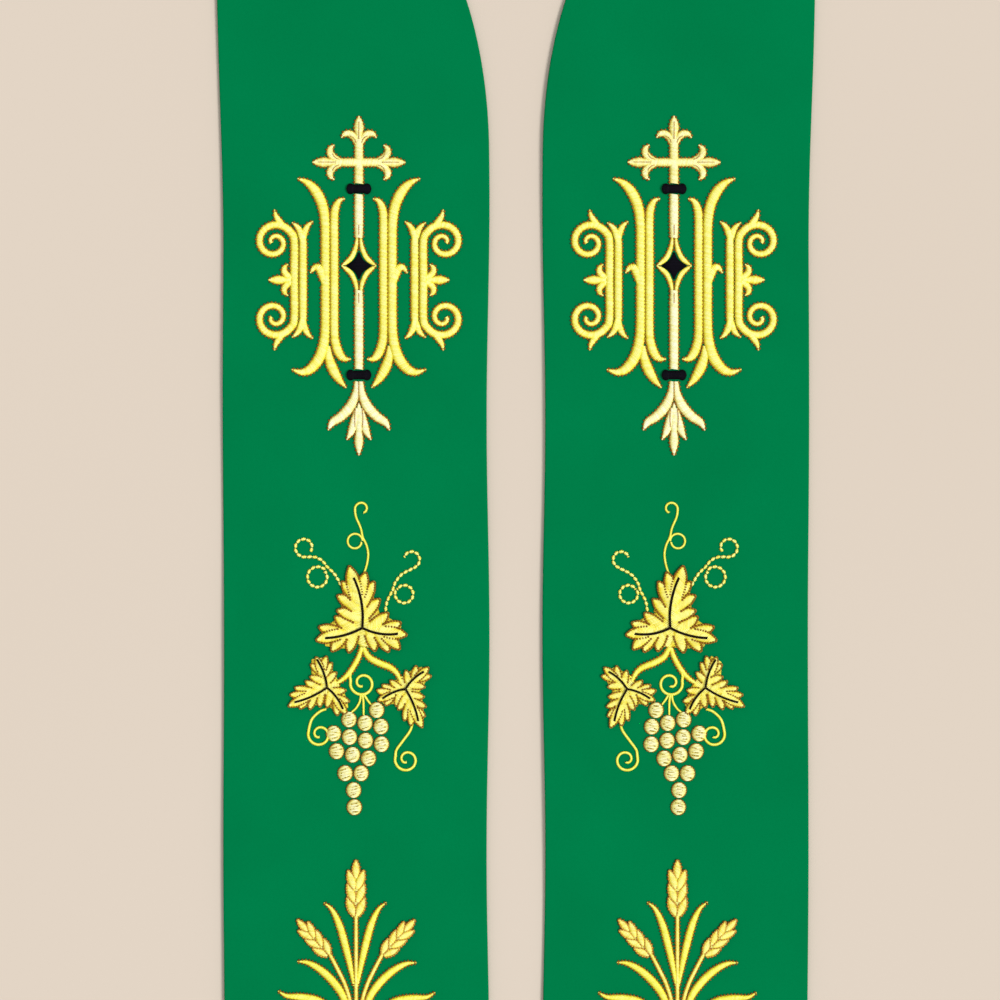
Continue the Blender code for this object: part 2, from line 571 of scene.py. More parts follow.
# Height of the dome of a dot and of a thin line over their ends, and thickness of their thread
DOT_RISE, DOT_THREAD = 0.15, 0.30
LINE_RISE, LINE_THREAD = 0.06, 0.16
THREAD_FOOT, THREAD_TOP = 1.06, 0.52      # widths of a thread, as shares of a stitch's
UNEVEN = (0.85, 1.15)         # thickness of single threads, as shares
SETTLING = 0.06               # how much of an uneven thread's thickness shows in the height of its dome
PAINTED_HIGHLIGHT_FOOT = 0.35             # painted highlight at the thread's foot, as a share of that on its top
PAINTED_LIT_SIDE = 0.16               # painted light: how much paler a stitch is painted on its slope towards the lamp at +X, and darker on the other

# Stations along a thread at which it is cut across, as shares of its length
LONG_THREAD = (0, 0.11, 0.33, 0.67, 0.89, 1)
FAIR_THREAD = (0, 0.2, 0.5, 0.8, 1)
SHORT_THREAD = (0, 0.3, 0.7, 1)
EDGE_THREAD = (0, 0.5, 1)


class Skein:
    """All the stitches of one thread on one band, gathered and then sewn as one piece."""

    def __init__(self, name, thread, side, at, seed, stations=LONG_THREAD):
        self.name = f"{name}_{side}"
        self.thread = thread
        self.side = side
        self.at = at[side]
        self.stations = stations
        self.random = np.random.default_rng(seed)
        self.stitches = []

    def lay(self, corners, rises, lift, thread, keep=None):
        """Takes in the stitches, or those whose middles the test keeps."""
        chosen = np.ones(len(corners), bool) if keep is None else keep(corners.mean(axis=1))
        for index in np.nonzero(chosen)[0]:
            self.stitches.append((corners[index], rises[index], lift, thread))

    def sew(self, curve, pitch=0.66, slant=0.25, rise=0.40, top=1.15, lift=0.05, thread=0.22, widths=None):
        """Satin stitches side by side across a stroke; widths scales them in turn."""
        count = max(2, int(round(length_of(curve) / pitch)))
        cuts = np.linspace(0, 1, count + 1)
        middles = (cuts[:-1] + cuts[1:]) / 2
        half = np.interp(middles, np.linspace(0, 1, len(curve)), curve[:, 2])
        shift = slant * half / max(length_of(curve), TINY)
        corners = np.stack([
            edge_places(curve, cuts[:-1] + shift, 1), edge_places(curve, cuts[:-1] - shift, -1),
            edge_places(curve, cuts[1:] + shift, 1), edge_places(curve, cuts[1:] - shift, -1),
        ], axis=1)
        if widths is not None:
            scale = np.resize(widths, count)[:, None, None]
            mid_start = corners[:, [0, 1]].mean(axis=1, keepdims=True)
            mid_end = corners[:, [2, 3]].mean(axis=1, keepdims=True)
            mids = np.concatenate([mid_start, mid_start, mid_end, mid_end], axis=1)
            corners = mids + (corners - mids) * scale
            half = half * scale[:, 0, 0]
        self.lay(corners, np.minimum(half * rise, top), lift, thread)

    def sew_all(self, curves, **how):
        for curve in curves:
            self.sew(curve, **how)

    def dots(self, line, tooth=BROAD_TOOTH, lift=0.2, keep=None):
        """Short separate stitches set across a line, one every pitch."""
        count = max(1, int(round(length_of(line) / tooth.pitch)))
        middles = (np.arange(count) + 0.5) / count
        reach = tooth.wide / 2 / max(length_of(line), TINY)
        corners = np.stack([
            edge_places(line, middles + place * reach, side) for place in (-1, 1) for side in (1, -1)
        ], axis=1)
        self.lay(corners, np.full(count, DOT_RISE), lift, DOT_THREAD, keep)

    def thin_line(self, line, lift, half=LINE_HALF, keep=None):
        """A running line of narrow stitches laid end to end."""
        count = max(1, int(round(length_of(line) / LINE_STITCH)))
        cuts = np.linspace(0, len(line) - 1, count + 1).round().astype(int)
        aside = headings(line) * half
        left, right = line[cuts, :2] + aside[cuts], line[cuts, :2] - aside[cuts]
        corners = np.stack([left[:-1], left[1:], right[:-1], right[1:]], axis=1)
        self.lay(corners, np.full(count, LINE_RISE), lift, LINE_THREAD, keep)

    def piece(self, finish):
        """Every stitch is a copy of one small thread, bent over its stroke."""
        base, faces = thread_shape(self.stations)
        corners = np.array([s[0] for s in self.stitches])
        rises, lifts, threads = (np.array([s[k] for s in self.stitches])[:, None] for k in (1, 2, 3))
        count = len(corners)
        run, over, up = base[:, 0], base[:, 1], base[:, 2]
        start = corners[:, None, 0] + (corners[:, None, 1] - corners[:, None, 0]) * run[None, :, None]
        end = corners[:, None, 2] + (corners[:, None, 3] - corners[:, None, 2]) * run[None, :, None]
        flat = start + (end - start) * over[None, :, None]
        dome = np.sqrt(np.maximum(1 - (2 * run - 1) ** 2, 0))
        uneven = self.random.uniform(*UNEVEN, (count, 1))
        settled = 1 - SETTLING + SETTLING * uneven
        height = lifts + rises * dome[None] * settled + threads * up[None] * uneven
        x = (self.at[0] + flat[..., 0] * MM).ravel()
        y = (self.at[1] + flat[..., 1] * MM).ravel()
        z = (height * MM).ravel() + CLOTH + lie(self.side, x, y)
        mesh = bpy.data.meshes.new(self.name)
        sheet_of_faces(mesh, np.stack([x, y, z], axis=1), faces, count, len(base))
        tone = np.repeat(self.random.uniform(0, 1, count), len(base))
        across = corners[:, 1] - corners[:, 0]
        lean = across[:, :1] / np.maximum(np.linalg.norm(across, axis=1, keepdims=True), TINY)
        # Painted light: a highlight over the top of each stitch fading to painted shade at its ends, and
        # paler on the slope that faces the lamp at +X
        crown = dome ** 2 * (PAINTED_HIGHLIGHT_FOOT + (1 - PAINTED_HIGHLIGHT_FOOT) * up) + PAINTED_LIT_SIDE * lean * (2 * run - 1)
        for label, values in (("tone", tone), ("crown", crown.ravel())):
            mesh.attributes.new(label, "FLOAT", "POINT").data.foreach_set("value", values.astype(np.float32))
        mesh.materials.append(finish)
        mesh.shade_smooth()
        made = place_in_scene(self.name, mesh)
        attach(made, "root")
        return made

    def under(self):
        """Places in metres under this skein's stitches."""
        places = np.array([s[0].mean(axis=0) for s in self.stitches[::2]])
        return places * MM + np.array(self.at)


def thread_shape(stations):
    """One short length of thread: a box cut across at the stations, narrower on top."""
    shape = bmesh.new()
    bmesh.ops.create_cube(shape, size=1)
    lengthwise = [e for e in shape.edges if abs(e.verts[0].co.x - e.verts[1].co.x) > 0.5]
    bmesh.ops.subdivide_edges(shape, edges=lengthwise, cuts=len(stations) - 2, use_grid_fill=True)
    levels = sorted({round(v.co.x, 4) for v in shape.verts})
    for vertex in shape.verts:
        vertex.co.x = stations[levels.index(round(vertex.co.x, 4))]
        top = vertex.co.z > 0
        vertex.co.y = 0.5 + vertex.co.y * (THREAD_TOP if top else THREAD_FOOT)
        vertex.co.z = 1.0 if top else 0.0
    shape.verts.index_update()
    places = np.array([v.co[:] for v in shape.verts])
    faces = [[v.index for v in face.verts] for face in shape.faces]
    shape.free()
    return places, faces


def sheet_of_faces(mesh, places, faces, copies, step):
    """Fills a mesh with the copies of one small shape."""
    sizes = np.array([len(face) for face in faces])
    loops = np.concatenate([np.array(face) for face in faces])
    all_loops = (loops[None] + step * np.arange(copies)[:, None]).ravel()
    starts = np.concatenate([[0], np.cumsum(np.tile(sizes, copies))[:-1]])
    mesh.vertices.add(len(places))
    mesh.vertices.foreach_set("co", places.astype(np.float32).ravel())
    mesh.loops.add(len(all_loops))
    mesh.loops.foreach_set("vertex_index", all_loops.astype(np.int32))
    mesh.polygons.add(len(starts))
    mesh.polygons.foreach_set("loop_start", starts.astype(np.int32))
    mesh.update(calc_edges=True)
    mesh.validate()


def outside_of(curves, margin):
    """A test that keeps places not covered by any of the strokes by more than the margin."""
    def keep(places):
        free = np.ones(len(places), bool)
        for curve in curves:
            some = curve[::2]
            apart = np.hypot(places[:, None, 0] - some[None, :, 0], places[:, None, 1] - some[None, :, 1])
            free &= ~(apart < some[None, :, 2] - margin).any(axis=1)
        return free
    return keep


def edge_line(curve, side, out, half):
    """The stroke's edge, moved outward, as a narrow stroke of its own."""
    edge = evenly(curve[:, :2] + side * headings(curve) * (curve[:, 2:3] + out))
    return np.column_stack([edge, np.full(len(edge), half)])


def outline(edging, curves, margin=0.3, lift=EDGING_LIFT, others=(), tooth=BROAD_TOOTH):
    """Teeth and thin lines round a group of strokes, left out where one covers another."""
    teeth, lines = edging
    for number, curve in enumerate(curves):
        rest = [other for index, other in enumerate(curves) if index != number] + list(others)
        keep = outside_of(rest, margin)
        for side in (1, -1):
            teeth.dots(edge_line(curve, side, tooth.out, tooth.half), tooth, lift=lift, keep=keep)
            lines.thin_line(edge_line(curve, side, LINE_OUT, LINE_HALF), lift=lift, keep=keep)


def edging_skeins(name, side, at, seed):
    """The two threads of a design's edging: brown teeth over thin amber lines."""
    return (
        Skein(name + "_edging", "brown_thread", side, at, seed, EDGE_THREAD),
        Skein(name + "_lines", "amber_thread", side, at, seed + 5, EDGE_THREAD),
    )


# ---------------- the emblem: cross, staff and scrollwork

# Strokes are rows of places across and up from the emblem's middle, and the half width there, in millimetres.
OUTER_COLUMN = [
    (-34.6, 49.2, 0.15), (-29.2, 46.9, 1.7), (-24.3, 42.0, 2.7), (-20.5, 34.0, 2.8), (-18.95, 24.0, 2.6),
    (-18.8, 10.0, 2.5), (-18.8, -12.0, 2.5), (-18.8, -30.0, 2.5), (-19.3, -41.0, 2.7), (-21.6, -50.4, 3.0),
    (-26.4, -57.4, 2.7), (-31.8, -60.0, 1.8), (-38.0, -58.4, 0.15),
]
INNER_COLUMN = [
    (-7.8, 37.8, 0.15), (-10.8, 36.8, 1.2), (-12.9, 33.2, 2.0), (-13.9, 27.0, 2.25), (-13.9, 8.0, 2.3),
    (-13.9, -14.0, 2.3), (-13.9, -36.0, 2.3), (-13.3, -43.0, 2.4), (-11.2, -49.3, 2.4), (-8.2, -52.4, 1.6),
    (-4.4, -52.6, 0.15),
]
COLUMN_LEAF = [
    (-17.0, -45.0, 0.8), (-17.0, -51.0, 2.2), (-15.0, -57.4, 2.8), (-11.4, -63.8, 2.0), (-7.1, -68.8, 0.15),
]
COLUMN_HOOK = [
    (-19.6, -11.0, 1.3), (-20.5, -5.4, 2.3), (-22.3, -1.6, 2.4), (-25.0, -1.2, 1.6), (-27.4, -4.2, 0.15),
]
POST_MIDDLE = -8.0            # the side ornament is the same above and below this height
SIDE_POST = [
    (-31.4, -36.0, 1.5), (-31.5, -28.0, 2.1), (-31.5, POST_MIDDLE, 2.2), (-31.5, 12.0, 2.1),
    (-31.4, 20.0, 1.5),
]
POST_PRONGS = [
    [(-31.8, 13.0, 1.6), (-30.6, 19.0, 1.9), (-28.5, 22.8, 1.2), (-25.8, 25.0, 0.12)],
    [(-31.6, 13.0, 1.6), (-33.2, 19.4, 1.8), (-35.2, 22.4, 1.1), (-37.8, 24.4, 0.12)],
]
SCROLL_EYE = (-47.7, 13.2)
SCROLL_SIZE = 11.4
SCROLL_THORN = [(-43.2, 22.8, 1.8), (-45.4, 25.8, 1.7), (-46.9, 28.6, 1.1), (-47.6, 31.8, 0.1)]
# The side ornament's bud is the cross's, turned and made smaller
SIDE_BUD_FOOT = (-27.4, POST_MIDDLE)
SIDE_BUD_SCALE = 0.9


def below(rows):
    """The same stroke turned over about the side ornament's middle height."""
    return [(u, 2 * POST_MIDDLE - v, half) for u, v, half in rows]


def side_scroll():
    """The outer post, with a curl of the same size over its top and under its foot, in one stroke."""
    over = curl(SCROLL_EYE, (SCROLL_SIZE, 1.5), (0, 560), (2.2, 0.9))
    return over[::-1] + [(-36.4, POST_MIDDLE, 2.3)] + below(over)


CROSS_MIDDLE = 58.3
ARM_BUD = [(0, 12.0, 1.4), (0, 15.6, 1.9), (0, 19.6, 2.7), (0, 23.4, 1.8), (0, 26.3, 0.1)]
ARM_PETAL = [(0.9, 10.2, 1.4), (2.4, 13.8, 1.9), (5.0, 16.1, 1.9), (7.9, 16.0, 1.4), (9.9, 13.8, 0.1)]
ARM_TIP = [ARM_BUD, ARM_PETAL, mirrored(ARM_PETAL)]
ARM_TURNS = (0, 90, -90)      # degrees: the cross's upper, left and right arm
CROSS_BARS = [
    [(0, CROSS_MIDDLE + 13.5, 2.3), (0, CROSS_MIDDLE, 2.4), (0, 52.0, 2.4), (0, 46.0, 2.4)],
    [(across, CROSS_MIDDLE, half) for across, half in ((-13.5, 2.2), (-5.0, 2.3), (5.0, 2.3), (13.5, 2.2))],
]
STAFF = [
    [(0, 40.6, 2.3), (0, 34.0, 2.4), (0, 24.0, 2.4), (0, 15.5, 2.2)],
    [(0, -13.5, 2.2), (0, -24.0, 2.4), (0, -44.0, 2.4), (0, -58.6, 2.3)],
]
JEWEL_EDGE = [(-0.9, 16.6, 0.5), (-1.7, 10.6, 1.1), (-3.8, 5.2, 1.35), (-6.6, 2.2, 1.2), (-9.8, 0.0, 0.12)]
JEWEL = [
    (0, 7.6, 0.5), (0, 5.4, 1.3), (0, 3.2, 2.8), (0, 1.5, 5.0), (0, 0.0, 7.0), (0, -1.5, 5.0), (0, -3.2, 2.8),
    (0, -5.4, 1.3), (0, -7.6, 0.5),
]
FOOT_LEAF = [
    (-0.9, -65.0, 1.4), (-1.7, -72.0, 2.0), (-4.8, -79.2, 2.7), (-10.0, -84.9, 2.5), (-14.8, -88.2, 2.0),
    (-17.4, -92.8, 0.12),
]
FOOT_SMALL_LEAF = [(-1.0, -80.0, 1.2), (-2.5, -87.0, 2.0), (-4.0, -92.9, 2.0), (-6.9, -98.2, 0.12)]
FOOT_BUD = [
    (0, -77.0, 0.5), (0, -85.0, 1.9), (0, -93.0, 1.8), (0, -98.6, 2.4), (0, -103.0, 1.6), (0, -107.0, 0.1),
]
# The black knots on the staff: heights, and a bar with a round lobe at each end
KNOT_PLACES = (43.3, -61.6)
KNOT_BAR = 5.0
KNOT_LOBES = (-4.6, 4.6)
KNOT_LOBE = 2.5
KNOT_HALF = 3.1
KNOT_LIFT = 0.5


def on_the_arms(strokes):
    """Strokes of one arm's own grid, on each arm of the cross."""
    return [turned(rows, degrees, (0, CROSS_MIDDLE)) for degrees in ARM_TURNS for rows in strokes]


def emblem_strokes():
    """The emblem's strokes by thread. Each half mirrors the other."""
    paired = [*POST_PRONGS, SCROLL_THORN]
    half = [OUTER_COLUMN, INNER_COLUMN, COLUMN_LEAF, COLUMN_HOOK, SIDE_POST, side_scroll()]
    half += paired + [below(rows) for rows in paired]
    half += [turned(rows, 90, SIDE_BUD_FOOT, SIDE_BUD_SCALE) for rows in ARM_TIP]
    gold = half + [mirrored(rows) for rows in half]
    arms = on_the_arms(ARM_TIP)
    jewel = [JEWEL_EDGE, mirrored(JEWEL_EDGE)]
    jewel += [mirrored(rows, 1, -1) for rows in jewel]
    foot = [FOOT_LEAF, mirrored(FOOT_LEAF), FOOT_SMALL_LEAF, mirrored(FOOT_SMALL_LEAF), FOOT_BUD]
    groups = {"gold": gold, "cross": CROSS_BARS + arms, "staff": STAFF + foot, "jewel": jewel}
    return {name: [smooth(rows) for rows in group] for name, group in groups.items()}


# Brown lines of dots sewn between the paired columns and posts: across, from, to
PAIR_LINES = [(-16.25, 28.0, -42.0), (-34.0, 16.0, -32.0)]
SEAM_HALF = 0.58
# Thin lines sewn over the middles of the buds, petals and staff
SPLIT_HALF = 0.20
SPLIT_LIFT = 1.05
PETAL_SPLIT = [(-1.6, 11.0, SPLIT_HALF), (-2.6, 13.4, SPLIT_HALF), (-4.8, 14.8, SPLIT_HALF)]
FOOT_SPLIT = [(-1.9, -80.0, SPLIT_HALF), (-2.3, -85.0, SPLIT_HALF), (-2.1, -91.0, SPLIT_HALF)]


def upright(*heights):
    """A thin line up the emblem's middle."""
    return [(0, height, SPLIT_HALF) for height in heights]


def split_lines():
    """The emblem's thin lines, as strokes."""
    arms = on_the_arms([upright(13.0, 17.0, 22.8), PETAL_SPLIT, mirrored(PETAL_SPLIT)])
    foot = [upright(-65.2, -70.0, -76.0), FOOT_SPLIT, mirrored(FOOT_SPLIT)]
    staff = [upright(17.4, 20.0, 23.0), upright(-15.4, -18.0, -21.0)]
    return [smooth(rows) for rows in arms + foot + staff]


def embroider_emblem(side):
    strokes = emblem_strokes()
    gold = Skein("emblem_gold", "gold_thread", side, EMBLEM_AT, seed=11)
    cross = Skein("emblem_cross", "cream_thread", side, EMBLEM_AT, seed=12)
    staff = Skein("emblem_staff", "ivory_thread", side, EMBLEM_AT, seed=16)
    edging = edging_skeins("emblem", side, EMBLEM_AT, seed=13)
    black = Skein("emblem_black", "black_thread", side, EMBLEM_AT, seed=14)
    seams = Skein("emblem_seams", "old_gold_thread", side, EMBLEM_AT, seed=15, stations=SHORT_THREAD)
    gold.sew_all(strokes["gold"])
    gold.sew_all(strokes["jewel"], lift=0.12)
    cross.sew_all(strokes["cross"], rise=0.34)
    staff.sew_all(strokes["staff"], rise=0.34)
    outline(edging, strokes["gold"], margin=-0.5)
    outline(edging, strokes["jewel"], margin=-0.5, others=[smooth(JEWEL)])
    outline(edging, strokes["cross"] + strokes["staff"])
    for across, top, foot in PAIR_LINES:
        for hand in (1, -1):
            seams.dots(smooth([(hand * across, top, SEAM_HALF), (hand * across, foot, SEAM_HALF)]), lift=0.5)
    for line in split_lines():
        edging[1].thin_line(line, half=SPLIT_HALF, lift=SPLIT_LIFT)
    black.sew(smooth(JEWEL), pitch=0.55, slant=0.0, rise=0.05, lift=0.0)
    for height in KNOT_PLACES:
        bar = smooth([(across, height, KNOT_LOBE) for across in (-KNOT_BAR, 0, KNOT_BAR)])
        black.sew(bar, pitch=0.5, rise=0.4, lift=KNOT_LIFT)
        for lobe in KNOT_LOBES:
            lobe_patch = smooth(round_patch(lobe, height, KNOT_LOBE, KNOT_HALF))
            black.sew(lobe_patch, pitch=0.5, slant=0.0, lift=KNOT_LIFT)
    return [gold, cross, staff, black, seams, *edging]


# ---------------- the vine

# Fingers of the leaf, the lowest laid first. Columns: vein, share of the vein at which it is rooted,
# turn from the vein in degrees, reach
LEAF_FINGERS = [
    ("left", 0.10, 55, 14.4), ("right", 0.08, -60, 14.0), ("right", 0.10, 46, 15.2),
    ("left", 0.12, -46, 14.6), ("tip", 0.10, 56, 15.4), ("tip", 0.10, -50, 16.8),
    ("left", 0.30, 35, 14.8), ("right", 0.26, -48, 15.2), ("tip", 0.25, 44, 16.0),
    ("tip", 0.25, -36, 19.4), ("left", 0.38, -28, 15.2), ("right", 0.36, 29, 13.6),
    ("right", 0.38, -34, 15.8), ("tip", 0.40, 28, 15.2), ("tip", 0.38, -24, 18.6),
    ("left", 0.34, 0, 18.0), ("right", 0.34, 0, 16.9), ("tip", 0.36, 3, 23.0),
]
FINGER_HALF = 1.6             # half width of the shortest finger
FINGER_SWELL = 0.10           # what each millimetre of reach adds to it
FINGER_BEND = -0.0010         # for each degree that it turns from its vein
# Ground under the fingers. Columns: vein, share of it covered, half width
LEAF_BODY = [("tip", 0.80, 11.2), ("left", 0.84, 10.4), ("right", 0.84, 10.4)]
BODY_STEPS = (0.1, 0.3, 0.55, 0.8, 1.0)   # shares of the way along it
BODY_TAPER = 0.58             # how much narrower it is at its end
# Ground round the veins' meeting, along the line of the leaf's tip: along, half width
LEAF_HEART = [(-11.6, 1.8), (-8.6, 4.0), (-2.0, 6.0), (4.0, 6.8), (10.0, 6.0)]
# Columns: share of the finger's length, share of its half width
FINGER_FORM = [(0.0, 0.60), (0.25, 0.90), (0.50, 1.0), (0.72, 0.88), (0.88, 0.50), (1.0, 0.04)]
VEIN_SHARE = 0.80             # of a vein's reach that is sewn
VEIN_HALF = 0.68
VEIN_THINNING = 0.4           # power of a leaf's scale by which its veins get thinner
# Columns: place of the veins' meeting across and up, scale, each vein's direction in degrees, reach and bend
LEAVES = [
    (0.0, 0.0, 1.0, {"tip": (100, 36.2, -0.07), "left": (195, 27.3, 0.06), "right": (-9, 25.6, -0.08)}),
    (-19.8, -33.6, 0.67, {"tip": (204, 25.4, 0.05), "left": (306, 19.0, 0.07), "right": (110, 21.4, -0.06)}),
    (24.3, -34.3, 0.66, {"tip": (291.5, 24.6, 0.05), "left": (43, 18.0, 0.07), "right": (203, 17.8, -0.06)}),
]


def finger(root, tip, half, bend):
    """One lobe of a leaf: broad in the middle, pointed, bent a little to one side."""
    run = np.array(tip) - np.array(root)
    aside = np.array([-run[1], run[0]]) * bend
    rows = []
    for share, width in FINGER_FORM:
        place = np.array(root) + run * share + aside * 4 * share * (1 - share)
        rows.append((place[0], place[1], half * width))
    return rows


def heading(degrees, reach):
    return np.array([reach * math.cos(math.radians(degrees)), reach * math.sin(math.radians(degrees))])


def leaf_parts(across, up, scale, reaches):
    """A vine leaf: the ground under it, its fingers and its veins, as rows."""
    middle = np.array([across, up])
    fingers, ground, veins = [], [], []
    for vein, rooted, turn, reach in LEAF_FINGERS:
        degrees, vein_reach, _ = reaches[vein]
        root = middle + heading(degrees, rooted * vein_reach)
        half = (FINGER_HALF + FINGER_SWELL * reach) * scale
        fingers.append(finger(root, root + heading(degrees + turn, reach * scale), half, FINGER_BEND * turn))
    for vein, share, half in LEAF_BODY:
        degrees, vein_reach, _ = reaches[vein]
        end = heading(degrees, share * vein_reach)
        ground.append([
            (*(middle + end * step), scale * half * (1 - BODY_TAPER * step ** 2)) for step in BODY_STEPS
        ])
    tip = reaches["tip"][0]
    ground.append([(*(middle + heading(tip, along * scale)), half * scale) for along, half in LEAF_HEART])
    for degrees, vein_reach, bend in reaches.values():
        rows = finger(middle, middle + heading(degrees, VEIN_SHARE * vein_reach), 1, bend)
        veins.append([(u, v, VEIN_HALF * scale ** VEIN_THINNING) for u, v, _ in rows])
    return ground, fingers, veins


# Columns: grapes in the row, place of its first grape across and up, fall from one grape to the next
GRAPE_ROWS = [
    (1, 8.0, -46.3, 0), (3, -7.6, -51.6, 2.0), (4, -16.3, -59.5, 2.0), (3, -14.6, -69.5, 2.0),
    (2, -9.8, -81.9, 0), (1, -5.0, -91.4, 0), (1, -4.6, -101.0, 0),
]
GRAPE_PITCH = 9.0
GRAPE_WIDE, GRAPE_TALL, GRAPE_FOOT, GRAPE_STEPS = 4.0, 4.35, 0.3, 8


def grape(across, up):
    """A round grape as a stroke from its top to its foot."""
    turns = [math.pi * step / GRAPE_STEPS for step in range(GRAPE_STEPS + 1)]
    return [
        (across, up + GRAPE_TALL * math.cos(turn), max(GRAPE_FOOT, GRAPE_WIDE * math.sin(turn)))
        for turn in turns
    ]


def grapes():
    return [
        grape(first + GRAPE_PITCH * number, up - fall * number)
        for count, first, up, fall in GRAPE_ROWS for number in range(count)
    ]


# The vine's own stems to its two small leaves, and the stalks of the grapes
STEMS = [
    [(-0.2, -10.6, 1.1), (-2.4, -17.0, 1.35), (-6.6, -24.2, 1.4), (-10.2, -28.2, 1.2), (-14.4, -31.2, 0.8)],
    [(0.2, -10.6, 1.2), (3.4, -16.2, 1.6), (9.0, -19.6, 1.75), (15.4, -22.2, 1.65), (19.2, -25.4, 1.3),
     (21.6, -30.0, 0.8)],
]
STALKS = [
    [(-0.9, -37.6, 0.7), (-1.6, -41.6, 0.75), (-3.8, -45.4, 0.7), (-6.4, -47.6, 0.6)],
    [(0.0, -37.6, 0.7), (0.5, -42.0, 0.75), (0.6, -49.4, 0.6)],
    [(0.9, -37.6, 0.7), (2.6, -40.4, 0.75), (4.8, -43.4, 0.6)],
]


def tendrils():
    """The smooth tendrils."""
    return [
        [(-6.4, -23.6, 0.9), (-7.0, -27.4, 0.9)]
        + curl((-0.1, -31.2), (6.9, 1.3), (165, 650), (0.95, 0.8), 1.5),
        [(-20.0, -45.6, 0.8), (-24.2, -47.2, 0.85), (-28.6, -51.6, 0.85)]
        + curl((-24.3, -60.0), (6.4, 1.2), (163, 650), (0.9, 0.75), 1.4),
        [(28.4, -52.0, 0.8), (27.0, -57.6, 0.85), (22.8, -63.6, 0.85), (19.2, -68.6, 0.85)]
        + curl((24.8, -74.2), (6.6, 1.2), (160, 650), (0.9, 0.75), 1.4),
        [(0.4, 29.6, 0.6), (2.3, 35.2, 0.7), (3.2, 41.2, 0.72), (2.3, 46.4, 0.72), (0.1, 51.2, 0.72),
         (-1.0, 56.2, 0.72), (-3.6, 62.4, 0.72)] + curl((-0.4, 67.2), (3.9, 2.4), (190, -75), (0.75, 0.7)),
        curl((-4.3, 48.8), (4.4, 3.8), (0, 360), (0.68, 0.68)),
    ]


def beaded_tendrils():
    return [
        [(-11.6, 23.2, 1.0), (-15.7, 30.2, 1.0), (-19.9, 34.4, 1.0), (-22.9, 38.0, 1.0), (-27.2, 40.0, 1.0)]
        + curl((-32.8, 45.4), (5.4, 4.2), (268, -35), (1.0, 1.0)),
        curl((-25.3, 28.6), (6.0, 5.3), (40, 400), (1.0, 1.0)),
        [(12.8, 8.9, 1.0), (13.9, 15.2, 1.0), (16.9, 21.2, 1.0), (18.5, 25.8, 1.0), (22.2, 30.3, 1.0),
         (28.0, 33.4, 1.0)]
        + curl((27.6, 38.6), (4.7, 4.3), (-50, 165), (1.0, 1.0)),
        curl((23.5, 19.2), (5.3, 4.8), (150, 510), (1.0, 1.0)),
    ]


TENDRIL_SHARE = 0.84          # thinner than the rows give them
BEAD_WIDTHS = (0.2, 0.72, 0.94, 0.72)
BEAD_PITCH = 0.76
DIVIDER_START = 0.20          # share of a finger's edge before its dividing line begins
DIVIDER_TOOTH = Tooth(1.50, 0.80, 0.54, 0.0)
DIVIDER_LINE, DIVIDER_LIFT = 0.34, 0.84
TEETH_OVER_LINE = 0.1
FINGER_LAYER = 0.02           # how much higher each finger lies than the one before
EDGE_THINNING = 0.7           # power of a leaf's scale by which its edging gets finer
# Lines over a grape: where each row lies, its half width and lift, how far it strays, and the ranges of its
# half length and slope
STREAK_ROWS = (-2.25, -0.75, 0.75, 2.25)
STREAK_HALF, STREAK_LIFT = 0.30, 1.3
STREAK_UP, STREAK_ASIDE = (-0.25, 0.25), (-1.2, 1.2)
STREAK_REACH, STREAK_SLOPE = (1.2, 2.1), (0.05, 0.4)


def smaller(tooth, scale):
    """The same tooth at the same pitch, made finer."""
    return Tooth(tooth.pitch, tooth.wide * scale, tooth.half * scale, tooth.out * scale)


def sew_leaf(leaf, flip, leaf_thread, veins_thread, edging):
    teeth, lines = edging
    fine = leaf[2] ** EDGE_THINNING
    edge_tooth, divider_tooth = smaller(FINE_TOOTH, fine), smaller(DIVIDER_TOOTH, fine)
    ground, fingers, veins = ([smooth(mirrored(rows, flip)) for rows in group] for group in leaf_parts(*leaf))
    leaf_thread.sew_all(ground, pitch=0.9, slant=0.4, rise=0.05, lift=0.02)
    for number, curve in enumerate(fingers):
        leaf_thread.sew(curve, pitch=0.75, slant=0.6, rise=0.20, lift=0.06 + FINGER_LAYER * number)
        covered = outside_of(fingers[number + 1:], margin=0.25)
        open_edge = outside_of(fingers[:number] + fingers[number + 1:] + ground, margin=0.15)
        for hand in (1, -1):
            edge = edge_line(curve, hand, 0.0, divider_tooth.half)
            divider = edge[int(DIVIDER_START * len(edge)):]
            lines.thin_line(divider, half=DIVIDER_LINE * fine, lift=DIVIDER_LIFT, keep=covered)
            teeth.dots(divider, divider_tooth, lift=DIVIDER_LIFT + TEETH_OVER_LINE, keep=covered)
            teeth.dots(edge_line(curve, hand, edge_tooth.out, edge_tooth.half), edge_tooth, keep=open_edge)
    veins_thread.sew_all(veins, pitch=0.8, slant=0.5, lift=1.2, rise=0.3, thread=0.25)


def sew_grape_lines(streaks, middle, flip):
    """A few short slanting lines of darker thread over one grape."""
    for row in STREAK_ROWS:
        up = middle[1] + row + streaks.random.uniform(*STREAK_UP)
        aside = middle[0] + streaks.random.uniform(*STREAK_ASIDE)
        reach = streaks.random.uniform(*STREAK_REACH)
        tilt = reach * streaks.random.uniform(*STREAK_SLOPE) * flip
        line = smooth([(aside + end * reach, up + end * tilt, STREAK_HALF) for end in (-1, 0, 1)])
        streaks.thin_line(line, half=STREAK_HALF, lift=STREAK_LIFT)


